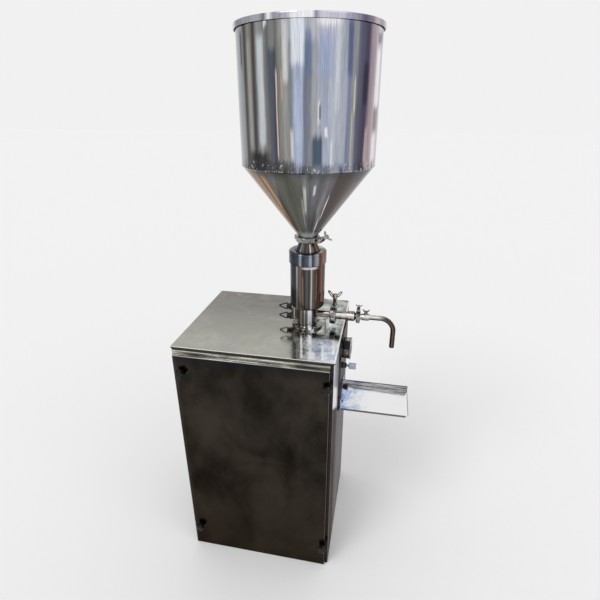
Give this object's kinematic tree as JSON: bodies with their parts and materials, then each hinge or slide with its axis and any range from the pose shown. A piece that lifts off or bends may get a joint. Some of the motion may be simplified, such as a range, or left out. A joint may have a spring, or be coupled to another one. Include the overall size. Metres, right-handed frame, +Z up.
{
  "type": "piston paste filling machine",
  "caption": "Floor-standing air-driven piston filler for pastes: open steel hopper over an upright pump barrel on a sheet-metal cabinet, valved outlet with swivelling spout and a tray.",
  "frame": {"origin": "on the floor under the middle of the cabinet's footprint, in the plane of the frame's bottom faces", "axes": "+Z up; -Y out of the cabinet's front panel; +X to the right seen from the front, towards the outlet, controls and tray"},
  "size_m": [0.7302, 0.493, 1.6872],
  "materials": {
    "frame_steel": "satin stainless angle",
    "sheet_steel": "satin stainless sheet",
    "mirror_panel": "polished stainless sheet, reflecting a dark room",
    "mirror_sheet": "polished stainless sheet",
    "polished_steel": "mirror-polished stainless",
    "turned_steel": "turned and milled stainless",
    "cast_steel": "tumbled stainless casting",
    "bolt_steel": "stainless fastener",
    "cylinder_aluminium": "anodised aluminium",
    "gauge_steel": "pressed steel gauge case",
    "brass": "turned brass",
    "white_seal": "white silicone and PTFE",
    "piston_plastic": "white machined plastic",
    "black_plastic": "black moulded plastic",
    "valve_plastic": "dark moulded plastic",
    "button_plastic": "pale blue-grey plastic",
    "dial_white": "white painted plate",
    "needle_black": "black painted pointer",
    "clear_glass": "clear flat glass"
  },
  "bodies": {
    "machine": {"cabinet_frame": "frame_steel", "top_plate": "sheet_steel", "left_panel": "sheet_steel", "right_panel": "sheet_steel", "rear_panel": "sheet_steel", "floor_panel": "sheet_steel", "support_plate": "turned_steel", "column": "turned_steel", "column_bolts": "bolt_steel", "rod_seal": "white_seal", "barrel": "polished_steel", "feed_neck": "polished_steel", "gaskets": "white_seal", "hopper_shell": "polished_steel", "hopper_rim": "polished_steel", "hopper_clamp": "cast_steel", "outlet_clamp": "cast_steel", "spout_clamp": "cast_steel", "clamp_bolts": "bolt_steel", "valve_inlet_body": "polished_steel", "valve_outlet_body": "polished_steel", "spout_socket": "polished_steel", "cleanout_cover": "turned_steel", "cylinder_lower_cap": "cylinder_aluminium", "cylinder_upper_cap": "cylinder_aluminium", "cylinder_tube": "cylinder_aluminium", "tie_rods": "bolt_steel", "spacer_tubes": "turned_steel", "air_inlet": "brass", "control_plate": "sheet_steel", "regulator_body": "valve_plastic", "gauge_case": "gauge_steel", "gauge_dial": "dial_white", "gauge_glass": "clear_glass", "button_valve": "valve_plastic"},
    "front": {"front_panel": "mirror_panel"},
    "piston": {"pump_piston": "piston_plastic", "piston_seals": "white_seal", "pump_rod": "turned_steel", "rod_coupling": "turned_steel", "air_piston_rod": "turned_steel"},
    "plate_valve": {"piston_valve_plate": "turned_steel"},
    "ball": {"valve_ball": "turned_steel"},
    "union_nut": {"collar_nut": "polished_steel"},
    "hopper_nut": {"hopper_wing_nut": "cast_steel"},
    "outlet_nut": {"outlet_wing_nut": "cast_steel"},
    "spout_nut": {"spout_wing_nut": "cast_steel"},
    "spout_pipe": {"spout": "polished_steel"},
    "spout_screw": {"spout_wing_screw": "cast_steel"},
    "thumb_lower": {"thumb_screw_lower": "black_plastic"},
    "thumb_upper": {"thumb_screw_upper": "black_plastic"},
    "tray_slider": {"tray": "mirror_sheet"},
    "tray_clamp": {"tray_knob": "black_plastic"},
    "pressure_knob": {"regulator_knob": "black_plastic"},
    "needle": {"gauge_needle": "needle_black"},
    "button": {"push_button": "button_plastic"},
    "knob_lower_left": {"front_knob_lower_left": "black_plastic"},
    "knob_lower_right": {"front_knob_lower_right": "black_plastic"},
    "knob_upper_left": {"front_knob_upper_left": "black_plastic"},
    "knob_upper_right": {"front_knob_upper_right": "black_plastic"}
  },
  "joints": [
    {"name": "piston_stroke", "type": "slide", "parent": "machine", "child": "piston", "axis": [0, 0, 1], "range_m": [0, 0.11]},
    {"name": "plate_valve_lift", "type": "slide", "parent": "piston", "child": "plate_valve", "axis": [0, 0, 1], "range_m": [-0.005, 0], "stiffness_N_per_m": 300, "springref_m": 0.005},
    {"name": "ball_lift", "type": "slide", "parent": "machine", "child": "ball", "axis": [1, 0, 0], "range_m": [0, 0.004], "stiffness_N_per_m": 200, "springref_m": -0.004},
    {"name": "front_panel_off", "type": "slide", "parent": "machine", "child": "front", "axis": [0, -1, 0], "range_m": [0, 0.3]},
    {"name": "knob_turn_lower_left", "type": "hinge", "parent": "front", "child": "knob_lower_left", "pos_m": [-0.221, -0.235, 0.095], "axis": [0, 1, 0], "continuous": true},
    {"name": "knob_turn_lower_right", "type": "hinge", "parent": "front", "child": "knob_lower_right", "pos_m": [0.228, -0.235, 0.095], "axis": [0, 1, 0], "continuous": true},
    {"name": "knob_turn_upper_left", "type": "hinge", "parent": "front", "child": "knob_upper_left", "pos_m": [-0.221, -0.235, 0.761], "axis": [0, 1, 0], "continuous": true},
    {"name": "knob_turn_upper_right", "type": "hinge", "parent": "front", "child": "knob_upper_right", "pos_m": [0.228, -0.235, 0.761], "axis": [0, 1, 0], "continuous": true},
    {"name": "union_nut_turn", "type": "hinge", "parent": "machine", "child": "union_nut", "pos_m": [0.13, 0, 1.083], "axis": [0, 0, 1], "continuous": true},
    {"name": "hopper_nut_turn", "type": "hinge", "parent": "machine", "child": "hopper_nut", "pos_m": [0.17792, 0.00626, 1.137], "axis": [0.2924, 0.9563, 0], "continuous": true},
    {"name": "outlet_nut_turn", "type": "hinge", "parent": "machine", "child": "outlet_nut", "pos_m": [0.215, 0.03775, 0.92], "axis": [0, 0, 1], "continuous": true},
    {"name": "spout_nut_turn", "type": "hinge", "parent": "machine", "child": "spout_nut", "pos_m": [0.295, 0.02, 0.9128], "axis": [0, 1, 0], "continuous": true},
    {"name": "spout_swivel", "type": "hinge", "parent": "machine", "child": "spout_pipe", "pos_m": [0.32, 0, 0.888], "axis": [1, 0, 0], "range_deg": [-90, 90]},
    {"name": "spout_screw_turn", "type": "hinge", "parent": "machine", "child": "spout_screw", "pos_m": [0.319, 0, 0.905], "axis": [0, 0, 1], "continuous": true},
    {"name": "thumb_turn_lower", "type": "hinge", "parent": "machine", "child": "thumb_lower", "pos_m": [0.07, 0, 0.871], "axis": [1, 0, 0], "continuous": true},
    {"name": "thumb_turn_upper", "type": "hinge", "parent": "machine", "child": "thumb_upper", "pos_m": [0.07, 0, 0.905], "axis": [1, 0, 0], "continuous": true},
    {"name": "tray_height", "type": "slide", "parent": "machine", "child": "tray_slider", "axis": [0, 0, 1], "range_m": [-0.02, 0.04]},
    {"name": "tray_clamp_turn", "type": "hinge", "parent": "tray_slider", "child": "tray_clamp", "pos_m": [0.262, 0, 0.614], "axis": [1, 0, 0], "continuous": true},
    {"name": "pressure_knob_turn", "type": "hinge", "parent": "machine", "child": "pressure_knob", "pos_m": [0.266, -0.045, 0.805], "axis": [1, 0, 0], "continuous": true},
    {"name": "needle_turn", "type": "hinge", "parent": "machine", "child": "needle", "pos_m": [0.268, 0, 0.769], "axis": [1, 0, 0], "range_deg": [-270, 0], "stiffness_Nm_per_rad": 0.001},
    {"name": "button_press", "type": "slide", "parent": "machine", "child": "button", "axis": [-1, 0, 0], "range_m": [0, 0.006], "stiffness_N_per_m": 800, "springref_m": -0.004}
  ]
}
